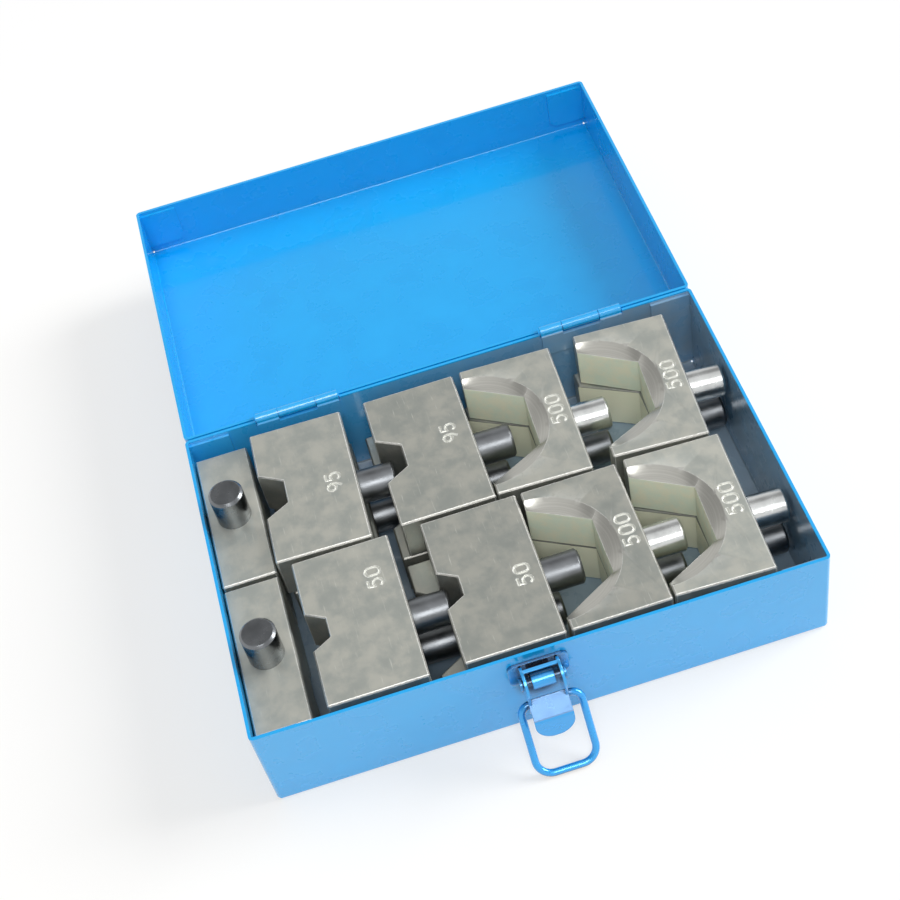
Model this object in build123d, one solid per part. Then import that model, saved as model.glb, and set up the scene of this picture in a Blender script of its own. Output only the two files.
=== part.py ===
from build123d import *
import math
import os

# A folded sheet-steel case with its lid lying open, and eighteen crimping dies stored in it.
# X runs along the hinge, Y from the latch to the hinge, Z up. The origin is the middle of the
# case's underside. All sizes are millimetres.

# Dies
DIE_WIDTH = 55.5            # across the mouth
DIE_DEPTH = 32.0            # mouth face to rear face
DIE_THICKNESS = 18.0
DIE_EDGE = 0.5              # broken outer edges
MOUTH_EDGE = 0.4            # broken edges round the mouth
BELL_SIZE = 2.5             # how far the bell mouth opens past the hexagon's corners
BELL_DEPTH = 2.2
BELL_FROM_SIDE = 19.0       # in the upper layer, hexagons with a longer side have a bell mouth

# Half-hexagon side for each conductor size; the distance across flats is the side times 1.732
HEX_SIDE = {"50": 7.1, "70": 8.2, "95": 9.3, "240": 14.2, "300": 16.4, "500": 21.5}

# Shank pins
SHANK_RADIUS = 5.75
SHANK_LENGTH = 12.5         # out of the die's rear face
SHANK_CHAMFER = 0.8
SPIGOT_RADIUS = 4.0         # the stepped-down end pressed into the die
SPIGOT_LENGTH = 8.0
BORE_END_ROOM = 0.5         # air behind the spigot

# Case sheet
SHEET = 1.0
BEND_INSIDE = 0.4           # inside radius of the folds round the floor
CORNER_INSIDE = 0.6         # inside radius of the upright corners
RIM_ABOVE_DIES = 1.0
LID_HEIGHT = 21.5
TAB_WIDTH = 14.0            # corner tabs lapped inside the front and back walls
TAB_CORNER = 3.0            # rounding at the tab's foot
TAB_LIFT = 3.5              # tab's foot above the floor
TAB_BELOW_RIM = 1.3
RELIEF_RADIUS = 0.8         # hole where three folds meet, so that the sheet doesn't tear there

# Gaps round the stored dies
SIDE_GAP = 0.4
END_GAP = 0.9
FRONT_GAP = 2.8
ROW_GAP = 1.5
BACK_GAP = 4.7
UPRIGHT_GAP_BACK = 1.4
UPRIGHT_GAP_FRONT = 5.3
NEST_CLEAR_BACK = 1.5       # shank to mouth wall, each side, where a shank lies in a small mouth
NEST_CLEAR_FRONT = 0.4
THIRD_GAP_BACK = 1.6
THIRD_GAP_FRONT = 1.65
FOURTH_GAP_BACK = 8.2
FOURTH_GAP_FRONT = 1.85

# What lies in each column, left to right: size, and its turn as it was dropped in
UPPER = {
    "back": [("95", -1.4), ("95", 0), ("500", -1.9), ("500", -3.7)],
    "front": [("50", 0), ("50", 0), ("500", 0), ("500", -2.1)],
}
# In the lower layer: size, and how far it lies to the right of and behind the die above it
LOWER = {
    "back": [("240", 1.2, 0), ("240", -2.7, 0), ("500", 0, 0), ("500", 0, 0)],
    "front": [("300", 0, 0), ("300", -7.95, -1.2), ("500", 0, 0), ("500", 0, 0)],
}
UPRIGHT = "70"

# Hinges
HINGE_FROM_END = 40.0       # middle of each hinge from the case's nearer end
HINGE_LENGTH = 29.0
MIDDLE_KNUCKLE = 13.0
KNUCKLE_GAP = 0.3
KNUCKLE_RADIUS = 1.75
HINGE_PIN_RADIUS = 0.95
PIN_RUNNING_GAP = 0.08
LEAF_HEIGHT = 8.0
LEAF_SHEET = 0.8
WALL_GAP = 0.6              # between the case's and the lid's hinge walls, lid open
LID_SEAM = 0.3              # between the two rims, lid closed
NOTCH_CLEAR = 0.5

# Latch: outs are measured from the case's front wall, drops down from the case's rim
LATCH_X = -2.6
PLATE_WIDTH = 19.0
PLATE_DROP = 3.5
PLATE_HEIGHT = 10.0
PLATE_SHEET = 1.0
PLATE_CORNER = 2.0
NECK_SHEET = 1.0
NECK_DROP = 3.2             # how much lower the neck leaves the plate than it meets the roll
LATCH_PIN_OUT = 6.3
LATCH_PIN_DROP = 5.3
LATCH_PIN_RADIUS = 1.25
PIN_HEAD_RADIUS = 2.1
PIN_HEAD = 0.8
ROLL_RADIUS = 2.55
ROLL_LENGTH = 7.0
LEVER_WIDTH = 12.4
LEVER_SHEET = 0.9
LEVER_EYE = 5.0
LEVER_FOOT = 2.7            # radius of the cheek round the ring's pivot
LEVER_BAR = 1.1
BAR_LEAN = 16               # degrees that the bar over the window leans to the wall
TONGUE_ROOT = (2.0, 6.4)    # out from and below the lever's pin
TONGUE_BEND = (7.6, 10.9)
TONGUE_TIP = (8.7, 18.6)
TONGUE_BEND_RADIUS = 1.6
TONGUE_ROUNDING = 0.48      # lip's corner radius as a share of its width
RING_PIVOT_IN = 0.5         # ring's pivot, in from and below the lever's pin
RING_PIVOT_FALL = 13.1
RING_SLIDE = 0.8            # the ring has slid this far to the right in the lever's eyes
RING_WIDTH = 19.3           # between wire centres
RING_WIRE = 1.2             # wire radius
RING_CORNER = 3.2           # beside the lever
RING_BEND = 5.2             # at the end that goes over the hook
PIVOT_PLAY = 0.2
HOOK_RISE = 4.7             # ring's bar above the case's rim when it lies in the hook
HOOK_WIDTH = 7.0
HOOK_SHEET = 0.8
HOOK_HEIGHT = 8.0
HOOK_PLAY = 0.15

# Worked-out sizes
LAYER_Z = [SHEET, SHEET + DIE_THICKNESS]
BASE_HEIGHT = SHEET + 2 * DIE_THICKNESS + RIM_ABOVE_DIES


def nest_gap(size, clear):
    """Gap between two dies when one's shank end lies in the next one's half-hexagon mouth."""
    reach = (HEX_SIDE[size] - SHANK_RADIUS - clear) * math.sqrt(3)
    return SHANK_LENGTH - reach


BACK_GAPS = [UPRIGHT_GAP_BACK, nest_gap("95", NEST_CLEAR_BACK), THIRD_GAP_BACK, FOURTH_GAP_BACK]
FRONT_GAPS = [UPRIGHT_GAP_FRONT, nest_gap("50", NEST_CLEAR_FRONT), THIRD_GAP_FRONT, FOURTH_GAP_FRONT]
ROW_LENGTH = DIE_THICKNESS + 4 * DIE_DEPTH + max(sum(BACK_GAPS), sum(FRONT_GAPS)) + SHANK_LENGTH
CASE_WIDTH = ROW_LENGTH + SIDE_GAP + END_GAP + 2 * SHEET
CASE_DEPTH = 2 * DIE_WIDTH + FRONT_GAP + ROW_GAP + BACK_GAP + 2 * SHEET
FRONT_Y = -CASE_DEPTH / 2
FIRST_X = -CASE_WIDTH / 2 + SHEET + SIDE_GAP
ROW_Y = {
    "front": FRONT_Y + SHEET + FRONT_GAP + DIE_WIDTH / 2,
    "back": FRONT_Y + SHEET + FRONT_GAP + ROW_GAP + 1.5 * DIE_WIDTH,
}
HINGE_X = CASE_WIDTH / 2 - HINGE_FROM_END
AXIS_Y = CASE_DEPTH / 2 + WALL_GAP / 2
AXIS_Z = BASE_HEIGHT + LID_SEAM / 2
LID_Z = BASE_HEIGHT - LID_HEIGHT
HINGE_AXIS = Axis((0, AXIS_Y, AXIS_Z), (1, 0, 0))
LATCH_PIN_Z = BASE_HEIGHT - LATCH_PIN_DROP
RING_PIVOT_OUT = LATCH_PIN_OUT - RING_PIVOT_IN
RING_PIVOT_Z = LATCH_PIN_Z - RING_PIVOT_FALL
SADDLE_OUT = HOOK_SHEET + HOOK_PLAY + RING_WIRE
SADDLE_Z = BASE_HEIGHT + HOOK_RISE
RING_LENGTH = math.hypot(SADDLE_Z - RING_PIVOT_Z, RING_PIVOT_OUT - SADDLE_OUT)


def column_faces(gaps):
    """X of the mouth face of each flat die in a row, from the left wall to the right one."""
    faces = []
    x = FIRST_X + DIE_THICKNESS
    for gap in gaps:
        x += gap
        faces.append(x)
        x += DIE_DEPTH
    return faces


COLUMN_X = {"back": column_faces(BACK_GAPS), "front": column_faces(FRONT_GAPS)}


def side_profile(points, width, x_middle):
    """Extrude a closed outline of (y, z) points along X about x_middle."""
    face = make_face(Polyline([(0, y, z) for y, z in points], close=True))
    return extrude(face, amount=width / 2, dir=(1, 0, 0), both=True).moved(Pos(x_middle, 0, 0))


def rod(radius, length, x, y, z):
    """Round bar along X."""
    return Pos(x, y, z) * Rot(0, 90, 0) * Cylinder(radius, length)


def out(distance):
    """Y of a point that stands this far out from the front wall."""
    return FRONT_Y - distance


def hexagon(side):
    return RegularPolygon(side, 6, rotation=30).face()


def flare(side, rim, z, depth):
    """Cutter that opens the mouth from its hexagon into a wider rim, depth away at height z."""
    return loft([Pos(0, 0, z - depth) * hexagon(side), Pos(0, 0, z) * rim], ruled=True)


def bell_rim(side):
    """Circle round the hexagon in six arcs, one for each side of the hexagon."""
    starts = [30 + 60 * i for i in range(6)]
    arcs = [CenterArc((0, 0), side + BELL_SIZE, start, 60) for start in starts]
    return make_face(Wire([arc.edge() for arc in arcs]))


def die_block(side, bell_mouth):
    """Half-hexagon die, mouth face at x = 0, lying flat with its underside at z = 0."""
    block = Pos(DIE_DEPTH / 2, 0, DIE_THICKNESS / 2) * Box(DIE_DEPTH, DIE_WIDTH, DIE_THICKNESS)
    block = chamfer(block.edges(), DIE_EDGE)
    block -= extrude(hexagon(side), amount=DIE_THICKNESS)
    broken_rim = hexagon(side + MOUTH_EDGE)
    block -= flare(side, broken_rim, 0, -MOUTH_EDGE)
    if bell_mouth:
        block -= flare(side, bell_rim(side), DIE_THICKNESS, BELL_DEPTH)
    else:
        block -= flare(side, broken_rim, DIE_THICKNESS, MOUTH_EDGE)
    bore_length = SPIGOT_LENGTH + BORE_END_ROOM
    return block - rod(SPIGOT_RADIUS, bore_length, DIE_DEPTH - bore_length / 2, 0, DIE_THICKNESS / 2)


def shank_pin():
    """Shouldered pin whose spigot is pressed into the middle of the die's rear face."""
    head = Cylinder(SHANK_RADIUS, SHANK_LENGTH, align=(Align.CENTER, Align.CENTER, Align.MIN))
    head = chamfer(head.edges().group_by(Axis.Z)[-1], SHANK_CHAMFER)
    spigot = Cylinder(SPIGOT_RADIUS, SPIGOT_LENGTH, align=(Align.CENTER, Align.CENTER, Align.MAX))
    return Pos(DIE_DEPTH, 0, DIE_THICKNESS / 2) * Rot(0, 90, 0) * (head + spigot)


def lay_flat(x, y, layer, turn):
    """Place of a flat die: mouth face at x, turned a little about the die's middle."""
    middle = DIE_DEPTH / 2
    return Pos(x + middle, y, LAYER_Z[layer]) * Rot(0, 0, turn) * Pos(-middle, 0, 0)


def stand_up(y):
    """Place of a die that stands on its mouth face with its shank up."""
    return Pos(FIRST_X + DIE_THICKNESS, y, SHEET) * Rot(0, -90, 0)


def dies():
    """Name, hexagon side, whether it has a bell mouth, and place of every die."""
    stored = []
    for row, y in ROW_Y.items():
        stored.append((f"{UPRIGHT}_{row}_upright", HEX_SIDE[UPRIGHT], False, stand_up(y)))
        for column, x in enumerate(COLUMN_X[row]):
            size, turn = UPPER[row][column]
            side = HEX_SIDE[size]
            place = lay_flat(x, y, 1, turn)
            stored.append((f"{size}_{row}_upper_{column + 1}", side, side > BELL_FROM_SIDE, place))
            size, right, behind = LOWER[row][column]
            place = lay_flat(x + right, y + behind, 0, 0)
            stored.append((f"{size}_{row}_lower_{column + 1}", HEX_SIDE[size], False, place))
    return stored


def in_four_corners(piece):
    """The piece with its mirror images in the other three corners."""
    pair = piece + mirror(piece, about=Plane.YZ)
    return pair + mirror(pair, about=Plane.XZ)


def corner_tab(height):
    """A side wall's tab, folded round the corner and welded inside the back wall."""
    foot = SHEET + TAB_LIFT
    top = height - TAB_BELOW_RIM
    reach = TAB_WIDTH + SHEET / 2
    tab = Pos(CASE_WIDTH / 2 - SHEET / 2 - reach / 2, CASE_DEPTH / 2 - 1.5 * SHEET, (foot + top) / 2)
    tab *= Box(reach, SHEET, top - foot)
    inner_corner = tab.edges().filter_by(Axis.Y).group_by(Axis.Z)[0].sort_by(Axis.X)[0]
    return fillet(inner_corner, TAB_CORNER)


def corner_relief():
    """Cutter for the small hole where the floor and two walls meet."""
    inset = SHEET / 2 + RELIEF_RADIUS / 2
    return Pos(CASE_WIDTH / 2 - inset, CASE_DEPTH / 2 - inset, inset) * Sphere(RELIEF_RADIUS)


def tray(height):
    """Open box folded from one sheet, with rounded folds, corner tabs and relief holes."""
    base = (Align.CENTER, Align.CENTER, Align.MIN)
    shell = Box(CASE_WIDTH, CASE_DEPTH, height, align=base)
    shell = fillet(shell.edges().filter_by(Axis.Z), CORNER_INSIDE + SHEET)
    shell = fillet(shell.edges().group_by(Axis.Z)[0], BEND_INSIDE + SHEET)
    room = Pos(0, 0, SHEET) * Box(CASE_WIDTH - 2 * SHEET, CASE_DEPTH - 2 * SHEET, height, align=base)
    room = fillet(room.edges().filter_by(Axis.Z), CORNER_INSIDE)
    room = fillet(room.edges().group_by(Axis.Z)[0], BEND_INSIDE)
    return shell - room + in_four_corners(corner_tab(height)) - in_four_corners(corner_relief())


def hinge_notch(x):
    """Room for one hinge's knuckles in the two hinge walls."""
    reach = KNUCKLE_RADIUS + NOTCH_CLEAR
    return Pos(x, AXIS_Y, AXIS_Z) * Box(HINGE_LENGTH + 2 * NOTCH_CLEAR, 4 * reach, 2 * reach)


def base_tray():
    shell = tray(BASE_HEIGHT)
    for x in (-HINGE_X, HINGE_X):
        shell -= hinge_notch(x)
    return shell


def lid_tray():
    shell = Pos(0, CASE_DEPTH + WALL_GAP, LID_Z) * tray(LID_HEIGHT)
    for x in (-HINGE_X, HINGE_X):
        shell -= hinge_notch(x)
    return shell


def knuckle_spans(middle):
    """Start and length of the middle knuckle, or of the two outer ones, from the hinge's middle."""
    if middle:
        return [(0, MIDDLE_KNUCKLE)]
    outer = (HINGE_LENGTH - MIDDLE_KNUCKLE) / 2 - KNUCKLE_GAP
    shift = MIDDLE_KNUCKLE / 2 + KNUCKLE_GAP + outer / 2
    return [(-shift, outer), (shift, outer)]


def hinge_leaf(x, middle, pin_gap):
    """Leaf on the base's hinge wall: a plate with knuckles rolled round the pin."""
    wall_face = CASE_DEPTH / 2 - SHEET
    knuckle_foot = AXIS_Z - KNUCKLE_RADIUS - KNUCKLE_GAP
    plate = Pos(x, wall_face - LEAF_SHEET / 2, knuckle_foot - LEAF_HEIGHT / 2)
    leaf = plate * Box(HINGE_LENGTH, LEAF_SHEET, LEAF_HEIGHT)
    web = [
        (wall_face - LEAF_SHEET, knuckle_foot), (wall_face, knuckle_foot),
        (AXIS_Y, AXIS_Z - KNUCKLE_RADIUS * 0.8), (AXIS_Y - KNUCKLE_RADIUS * 0.8, AXIS_Z),
        (wall_face - LEAF_SHEET, AXIS_Z - KNUCKLE_RADIUS * 0.6),
    ]
    for shift, length in knuckle_spans(middle):
        leaf += side_profile(web, length, x + shift)
        leaf += rod(KNUCKLE_RADIUS, length, x + shift, AXIS_Y, AXIS_Z)
    return leaf - rod(HINGE_PIN_RADIUS + pin_gap, HINGE_LENGTH + 2, x, AXIS_Y, AXIS_Z)


def lid_leaf(x):
    """The mating leaf on the lid's wall, with the middle knuckle, free to turn on the pin."""
    return mirror(hinge_leaf(x, True, PIN_RUNNING_GAP), about=Plane.XZ.offset(-AXIS_Y))


def hinge_pin(x):
    return rod(HINGE_PIN_RADIUS, HINGE_LENGTH, x, AXIS_Y, AXIS_Z)


def latch_bracket():
    """Plate welded on the front wall, its middle brought out and rolled round the lever's pin."""
    plate = Pos(LATCH_X, out(PLATE_SHEET / 2), BASE_HEIGHT - PLATE_DROP - PLATE_HEIGHT / 2) * Box(
        PLATE_WIDTH, PLATE_SHEET, PLATE_HEIGHT)
    plate = fillet(plate.edges().filter_by(Axis.Y), PLATE_CORNER)
    under_roll = LATCH_PIN_Z - ROLL_RADIUS
    root = under_roll - NECK_DROP
    neck = [
        (out(PLATE_SHEET / 2), root), (out(LATCH_PIN_OUT), under_roll),
        (out(LATCH_PIN_OUT), under_roll + NECK_SHEET), (out(PLATE_SHEET / 2), root + NECK_SHEET),
    ]
    bracket = plate + side_profile(neck, ROLL_LENGTH, LATCH_X)
    bracket += rod(ROLL_RADIUS, ROLL_LENGTH, LATCH_X, out(LATCH_PIN_OUT), LATCH_PIN_Z)
    return bracket - rod(LATCH_PIN_RADIUS, PLATE_WIDTH, LATCH_X, out(LATCH_PIN_OUT), LATCH_PIN_Z)


def latch_pin():
    """Headed pin through the lever's cheeks, pressed into the bracket's roll."""
    place = (LATCH_X, out(LATCH_PIN_OUT), LATCH_PIN_Z)
    shank = LEVER_WIDTH + 2 * PIVOT_PLAY
    pin = rod(LATCH_PIN_RADIUS, shank, *place)
    for side in (-1, 1):
        x = LATCH_X + side * (shank + PIN_HEAD) / 2
        pin += rod(PIN_HEAD_RADIUS, PIN_HEAD, x, *place[1:])
    return pin


def tongue_points():
    """The tongue's root, bend and tip: out from the wall, height."""
    return [(LATCH_PIN_OUT + far, LATCH_PIN_Z - fall)
            for far, fall in (TONGUE_ROOT, TONGUE_BEND, TONGUE_TIP)]


def lever_cheek(x):
    """Side plate of the lever: an eye round the pin, drawn down to the ring's pivot."""
    rounds = [
        (LEVER_EYE, (LATCH_PIN_OUT, LATCH_PIN_Z)),
        (LEVER_FOOT, (RING_PIVOT_OUT, RING_PIVOT_Z)),
        (LEVER_SHEET / 2, tongue_points()[0]),
    ]
    circles = [Pos(*middle) * Circle(radius) for radius, middle in rounds]
    outline = make_hull([circle.edge() for circle in circles])
    plate = extrude(outline, amount=LEVER_SHEET / 2, both=True)
    return Plane(origin=(x, FRONT_Y, 0), x_dir=(0, -1, 0), z_dir=(-1, 0, 0)).location * plate


def tongue():
    """Sheet that leaves the cheeks, flares outwards and turns down to a rounded lip."""
    points = [(0, out(far), z) for far, z in tongue_points()]
    path = FilletPolyline(*points, radius=TONGUE_BEND_RADIUS)
    start = Plane(origin=path @ 0, z_dir=path % 0, x_dir=(1, 0, 0))
    sheet = sweep(start * Rectangle(LEVER_WIDTH, LEVER_SHEET), path=path)
    tip_out, tip_z = tongue_points()[-1]
    blank = extrude(RectangleRounded(LEVER_WIDTH, 3 * LEVER_WIDTH, TONGUE_ROUNDING * LEVER_WIDTH),
                    amount=LEVER_WIDTH, both=True)
    blank = Pos(0, out(tip_out), tip_z + 1.5 * LEVER_WIDTH) * Rot(90, 0, 0) * blank
    return Pos(LATCH_X, 0, 0) * (sheet & blank)


def latch_lever():
    """Draw-latch lever: two cheeks, the bar over the window, and the finger tongue."""
    lever = tongue()
    for side in (-1, 1):
        lever += lever_cheek(LATCH_X + side * (LEVER_WIDTH - LEVER_SHEET) / 2)
    reach = LEVER_EYE - LEVER_BAR / 2
    lean = math.radians(BAR_LEAN)
    bar = Rot(BAR_LEAN, 0, 0) * Box(LEVER_WIDTH, LEVER_BAR, LEVER_BAR)
    lever += Pos(LATCH_X, out(LATCH_PIN_OUT - reach * math.sin(lean)),
                 LATCH_PIN_Z + reach * math.cos(lean)) * bar
    lever -= rod(LATCH_PIN_RADIUS + PIN_RUNNING_GAP, 2 * LEVER_WIDTH, LATCH_X,
                 out(LATCH_PIN_OUT), LATCH_PIN_Z)
    return lever - rod(RING_WIRE + PIVOT_PLAY, 2 * LEVER_WIDTH, LATCH_X,
                       out(RING_PIVOT_OUT), RING_PIVOT_Z)


def latch_ring():
    """Wire ring that hangs from the lever, resting on the table where it is long enough."""
    drop = min(RING_PIVOT_Z - RING_WIRE, RING_LENGTH)
    lean = math.degrees(math.acos(drop / RING_LENGTH))
    half = RING_WIDTH / 2
    corners = [(-half, 0, 0), (half, 0, 0), (half, 0, -RING_LENGTH), (-half, 0, -RING_LENGTH)]
    rounding = [RING_CORNER, RING_CORNER, RING_BEND, RING_BEND]
    path = FilletPolyline(*corners, radius=rounding, close=True)
    start = Plane(origin=path @ 0, z_dir=path % 0)
    ring = sweep(start * Circle(RING_WIRE), path=path)
    return Pos(LATCH_X + RING_SLIDE, out(RING_PIVOT_OUT), RING_PIVOT_Z) * Rot(-lean, 0, 0) * ring


def lid_hook():
    """Hook on the lid's front wall, rolled up round the ring's bar; made with the lid shut."""
    bore = HOOK_PLAY + RING_WIRE
    roll = bore + HOOK_SHEET
    saddle = Cylinder(roll, HOOK_WIDTH) - Cylinder(bore, HOOK_WIDTH)
    saddle = Pos(LATCH_X, out(SADDLE_OUT), SADDLE_Z) * Rot(0, 90, 0) * saddle
    saddle -= Pos(LATCH_X, out(SADDLE_OUT), SADDLE_Z + roll) * Box(2 * HOOK_WIDTH, 2 * roll, 2 * roll)
    plate = Pos(LATCH_X, out(HOOK_SHEET / 2), SADDLE_Z + HOOK_HEIGHT / 2) * Box(
        HOOK_WIDTH, HOOK_SHEET, HOOK_HEIGHT)
    lip = Pos(LATCH_X, out(SADDLE_OUT + roll - HOOK_SHEET / 2), SADDLE_Z + RING_WIRE / 2) * Box(
        HOOK_WIDTH, HOOK_SHEET, RING_WIRE)
    return (saddle + plate + lip).rotate(HINGE_AXIS, -180)


def write(shape, node):
    export_step(shape, f"parts/{node}.step")


def main():
    os.makedirs("parts", exist_ok=True)
    blocks = {}
    pin = shank_pin()
    for name, side, bell_mouth, place in dies():
        form = (side, bell_mouth)
        if form not in blocks:
            blocks[form] = die_block(side, bell_mouth)
        write(place * blocks[form], f"die_{name}")
        write(place * pin, f"shank_{name}")
    write(base_tray(), "case_base")
    write(lid_tray(), "case_lid")
    for name, x in (("left", -HINGE_X), ("right", HINGE_X)):
        write(hinge_leaf(x, False, 0), f"hinge_base_leaf_{name}")
        write(lid_leaf(x), f"hinge_lid_leaf_{name}")
        write(hinge_pin(x), f"hinge_pin_{name}")
    write(latch_bracket(), "latch_bracket")
    write(latch_pin(), "latch_pin")
    write(latch_lever(), "latch_lever")
    write(latch_ring(), "latch_ring")
    write(lid_hook(), "lid_hook")
    print(f"case {CASE_WIDTH:.2f} x {CASE_DEPTH:.2f} x {BASE_HEIGHT:.2f}, lid {LID_HEIGHT:.2f}")


main()
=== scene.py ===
# %% [markdown]
# A set of hexagonal crimping dies lies in a shallow steel case that was folded from sheet and
# painted blue. The case, the dies and the latch come from the frame at their real size. This
# file gives them their finishes, stamps the size numbers into the dies, and adds the table,
# the light and the camera.

import math

import bmesh
import bpy
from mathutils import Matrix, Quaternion, Vector


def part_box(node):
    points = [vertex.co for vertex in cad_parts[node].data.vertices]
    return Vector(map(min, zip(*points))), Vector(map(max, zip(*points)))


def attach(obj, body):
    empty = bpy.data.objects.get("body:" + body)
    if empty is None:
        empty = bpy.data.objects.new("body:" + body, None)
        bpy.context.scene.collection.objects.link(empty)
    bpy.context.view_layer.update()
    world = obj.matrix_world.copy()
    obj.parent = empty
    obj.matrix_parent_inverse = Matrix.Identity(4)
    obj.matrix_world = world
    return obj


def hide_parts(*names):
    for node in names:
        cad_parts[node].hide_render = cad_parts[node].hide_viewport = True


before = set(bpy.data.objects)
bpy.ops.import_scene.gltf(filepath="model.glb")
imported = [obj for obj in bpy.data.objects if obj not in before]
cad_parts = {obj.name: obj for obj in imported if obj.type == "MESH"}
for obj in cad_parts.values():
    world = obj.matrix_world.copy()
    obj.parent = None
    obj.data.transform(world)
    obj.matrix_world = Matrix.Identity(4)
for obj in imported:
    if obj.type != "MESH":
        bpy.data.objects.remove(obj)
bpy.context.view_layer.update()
MM = 0.001
case_low, case_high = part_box("case_base")
print("case", [round(v / MM, 1) for v in case_high - case_low], "mm")

# %% [markdown]
# Colours are easiest to judge as the hex values that a paint chip or a colour picker gives, but
# a shader works with linear light. One function turns the first into the second.

# %% Colours


def linear(hex_colour):
    """An sRGB colour such as "#3aa6ea" as linear red, green, blue and alpha."""
    channels = [int(hex_colour[i:i + 2], 16) / 255 for i in (1, 3, 5)]
    return [c / 12.92 if c <= 0.04045 else ((c + 0.055) / 1.055) ** 2.4 for c in channels] + [1]


print("middle grey #808080 in linear light", round(linear("#808080")[0], 3))

# %% [markdown]
# A material is a small circuit of nodes. One helper adds any node, sets what it needs and wires
# its inputs, so that each finish below reads as a list of what the surface has.

# %% Node helper


def add(tree, kind, settings=None, **inputs):
    """Adds a node. Inputs are values, or (node, output) pairs to link from."""
    node = tree.nodes.new(kind)
    for name, value in (settings or {}).items():
        setattr(node, name, value)
    for name, value in inputs.items():
        socket = node.inputs[int(name[1:])] if name[0] == "i" and name[1:].isdigit() else (
            node.inputs[name.replace("_", " ")])
        if isinstance(value, tuple) and hasattr(value[0], "outputs"):
            tree.links.new(value[0].outputs[value[1]], socket)
        else:
            socket.default_value = value
    return node


def new_material(name):
    """An empty material with its output node."""
    material = bpy.data.materials.new(name)
    material.use_nodes = True
    material.node_tree.nodes.clear()
    return material, material.node_tree, material.node_tree.nodes.new("ShaderNodeOutputMaterial")


def ramp(tree, source, low, high):
    """Stretches a value from low..high to 0..1, with soft ends."""
    settings = {"interpolation_type": "SMOOTHSTEP"}
    return add(tree, "ShaderNodeMapRange", settings, Value=source, From_Min=low, From_Max=high)


# %% [markdown]
# A used case isn't one blue all over. Inside, below the rim, the blue is mixed with grey. Outside,
# the wall behind the latch is painted dark: painted shade, with some grease. Both could be painted
# as images, but here a mask worked out from a point's place is enough: the Object coordinates of
# the Texture Coordinate node are the part's own, in metres, so a Compare node picks what lies
# between two planes, and a Distance node what lies near a point.

# %% Masks on the case
SKIN = 0.5 * MM  # half of the sheet, which tells its inner face from its outer one
# Size of the dark patch on the wall behind the latch: painted shade, with some grease
LATCH_PATCH_HEIGHT = 22 * MM
LATCH_PATCH_CORE = 4 * MM
LATCH_PATCH_REACH = 9.5 * MM


def within(tree, value, low, high):
    """One where a value lies between two bounds."""
    middle, half = (low + high) / 2, (high - low) / 2
    return add(tree, "ShaderNodeMath", {"operation": "COMPARE"}, i0=value, i1=middle, i2=half)


def inside_case(tree, place):
    """One on the inner faces of the case's tray."""
    split = add(tree, "ShaderNodeSeparateXYZ", Vector=(place, "Object"))
    across = within(tree, (split, "X"), case_low.x + SKIN, case_high.x - SKIN)
    along = within(tree, (split, "Y"), case_low.y + SKIN, case_high.y - SKIN)
    below = within(tree, (split, "Z"), case_low.z + SKIN, case_high.z - SKIN)
    plan = add(tree, "ShaderNodeMath", {"operation": "MULTIPLY"}, i0=(across, 0), i1=(along, 0))
    return add(tree, "ShaderNodeMath", {"operation": "MULTIPLY"}, i0=(plan, 0), i1=(below, 0))


# The dark patch behind the latch is painted shade, with some grease.
def latch_shade_and_grease(tree, place):
    """Fades from one on the wall behind the latch to nought a few millimetres past it."""
    low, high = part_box("latch_lever")
    middle = ((low.x + high.x) / 2, case_low.y, LATCH_PATCH_HEIGHT)
    away = add(tree, "ShaderNodeVectorMath", {"operation": "DISTANCE"}, i0=(place, "Object"),
               i1=middle)
    return ramp(tree, (away, "Value"), LATCH_PATCH_REACH, LATCH_PATCH_CORE)


print("grease reaches", round(LATCH_PATCH_REACH / MM, 1), "mm from the latch")

# %% [markdown]
# The case, its hinges and its latch were sprayed together after they were assembled: a stoving
# enamel on phosphated mild steel, baked to a high gloss. It has a body colour and, over it, a
# clear skin that mirrors whatever stands near, which is why the outside, which faces the white
# table, looks paler than the inside. A Principled shader with a full clear coat does this.
# Sprayed enamel is never quite flat: it dries with a fine orange peel, about 1.5 mm from dimple
# to dimple, and thin sheet has slow waves between its folds. Both only tilt the normal. Inside the
# tray the blue is mixed with grey in patches, more and more from the left end to the right end,
# and on the floor, where dust settles.

# %% Blue stoving enamel
ENAMEL_BLUE = "#00acf0"
ENAMEL_DEEP = "#00a0e6"
# Grey that the inside of the tray is mixed with, more towards the right end
INSIDE_GREY = "#9da3a5"
# Painted shade, with some grease, on the wall behind the latch
WALL_SHADE_AND_GREASE = "#2b4564"
GREY_AT_LEFT = 0.08
GREY_AT_RIGHT = 0.66
GREY_PATCH_LOW = 0.75
GREY_PATCH_HIGH = 1.15
DUST_FLOOR = 0.8
FLOOR_BAND = 2 * MM
ORANGE_PEEL_MM = 1.5
PEEL_DEPTH = 0.02 * MM
SHEET_WAVE_MM = 28
WAVE_DEPTH = 0.3 * MM
HANDLING_MM = 12
ENAMEL_POLISHED = 0.22
ENAMEL_HANDLED = 0.36
LATCH_PATCH_ROUGHNESS = 0.8
LATCH_PATCH_COAT = 0.1

# A noise texture can reach from 0 to 1, but most of it lies between these two
NOISE_LOW = 0.3
NOISE_HIGH = 0.7


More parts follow.
